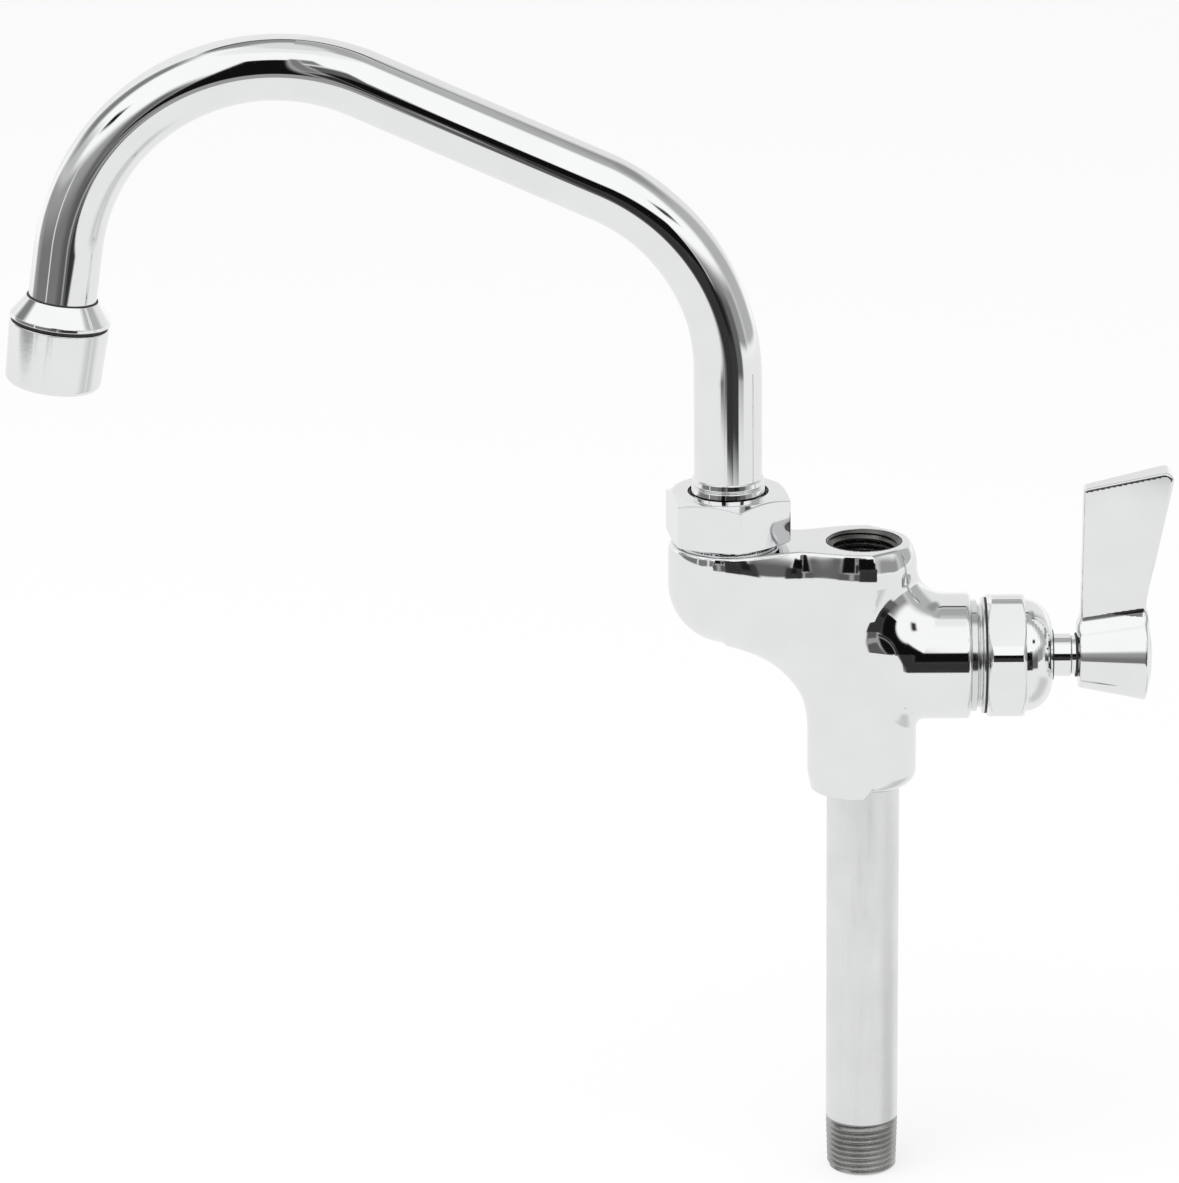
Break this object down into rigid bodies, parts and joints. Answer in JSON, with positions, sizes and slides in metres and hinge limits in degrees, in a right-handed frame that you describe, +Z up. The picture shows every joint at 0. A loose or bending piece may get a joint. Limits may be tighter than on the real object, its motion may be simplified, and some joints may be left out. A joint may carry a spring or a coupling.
{
  "type": "pre rinse add-on faucet",
  "caption": "Chrome add-on faucet for a pre-rinse unit: body on a threaded nipple, riser port on top, swinging arched spout and lever valve.",
  "frame": {"origin": "centre of the nipple's lower, threaded end", "axes": "+Z up the nipple's axis to the riser port, +X along the valve's axis towards the lever, spout towards -X at rest"},
  "size_m": [0.2715, 0.0308, 0.2798],
  "materials": {
    "polished_chrome": "mirror polished",
    "satin_chrome": "satin, bare at the thread",
    "machined_brass": "turned",
    "stainless_steel": "plain",
    "black_rubber": "matt",
    "white_plastic": "moulded",
    "red_fibre": "pressed fibre"
  },
  "bodies": {
    "root": {"faucet_body": "polished_chrome", "inlet_nipple": "satin_chrome", "bonnet_gasket": "red_fibre", "bonnet": "polished_chrome", "valve_seat": "machined_brass", "spout_nut": "polished_chrome", "spout_glide_washer": "white_plastic"},
    "valve_disc": {"seat_washer": "black_rubber", "washer_holder": "machined_brass", "washer_screw": "stainless_steel"},
    "handle": {"valve_stem": "polished_chrome", "stem_oring_inner": "black_rubber", "stem_oring_outer": "black_rubber", "lever_handle": "polished_chrome", "handle_screw": "stainless_steel", "index_button": "polished_chrome"},
    "spout": {"spout_tube": "polished_chrome", "spout_sleeve": "machined_brass", "spout_oring_lower": "black_rubber", "spout_oring_upper": "black_rubber", "aerator_adapter": "polished_chrome", "aerator_housing": "polished_chrome", "aerator_gasket": "black_rubber", "aerator_core": "white_plastic", "aerator_screen": "stainless_steel"}
  },
  "joints": [
    {"name": "spout_swivel", "type": "hinge", "parent": "root", "child": "spout", "pos_m": [-0.03175, 0, 0.1577], "axis": [0, 0, 1], "continuous": true},
    {"name": "stem_travel", "type": "slide", "parent": "root", "child": "valve_disc", "axis": [1, 0, 0], "range_m": [0, 0.0032]},
    {"name": "handle_turn", "type": "hinge", "parent": "valve_disc", "child": "handle", "pos_m": [0.0504, 0, 0.1292], "axis": [1, 0, 0], "range_deg": [0, 180]}
  ],
  "couplings": [
    {"joint": "stem_travel", "follows": "handle_turn", "m_per_rad": 0.0010106}
  ]
}
